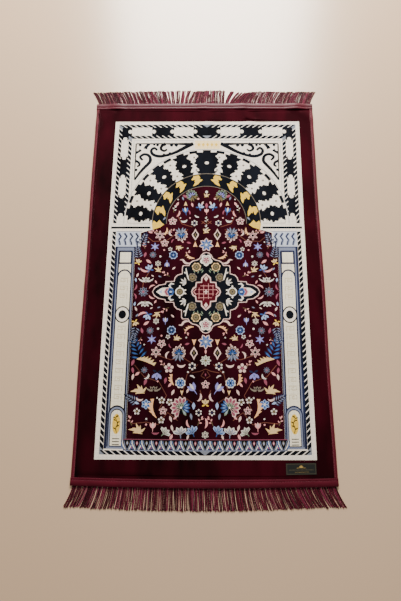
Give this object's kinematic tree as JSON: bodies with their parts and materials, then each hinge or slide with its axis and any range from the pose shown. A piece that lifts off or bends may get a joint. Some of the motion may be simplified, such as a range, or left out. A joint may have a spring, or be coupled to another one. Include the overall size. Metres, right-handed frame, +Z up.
{
  "type": "prayer rug",
  "caption": "Flat velvet prayer rug with a mihrab arch design, taped long edges, folded satin end bands, a tasselled fringe at each end and a small blank sewn label.",
  "frame": {"origin": "middle of the cloth's underside, on the floor", "axes": "+Z up out of the pile, +Y along the rug to the arch end, +X to the right when looking from the foot end to the arch end"},
  "size_m": [0.6889, 1.2016, 0.0084],
  "materials": {
    "velvet": "short cut pile, printed design, soft sheen",
    "binding_tape": "woven overlock tape, matte",
    "band_satin": "satin tape, soft sheen",
    "fringe_yarn": "loose twisted yarn, slight lustre",
    "label_weave": "fine damask weave, matte"
  },
  "bodies": {
    "root": {"pile_cloth": "velvet", "binding_left": "binding_tape", "binding_right": "binding_tape", "band_arch_end": "band_satin", "band_foot_end": "band_satin", "fringe_arch_end": "fringe_yarn", "fringe_foot_end": "fringe_yarn", "label": "label_weave"}
  },
  "joints": []
}
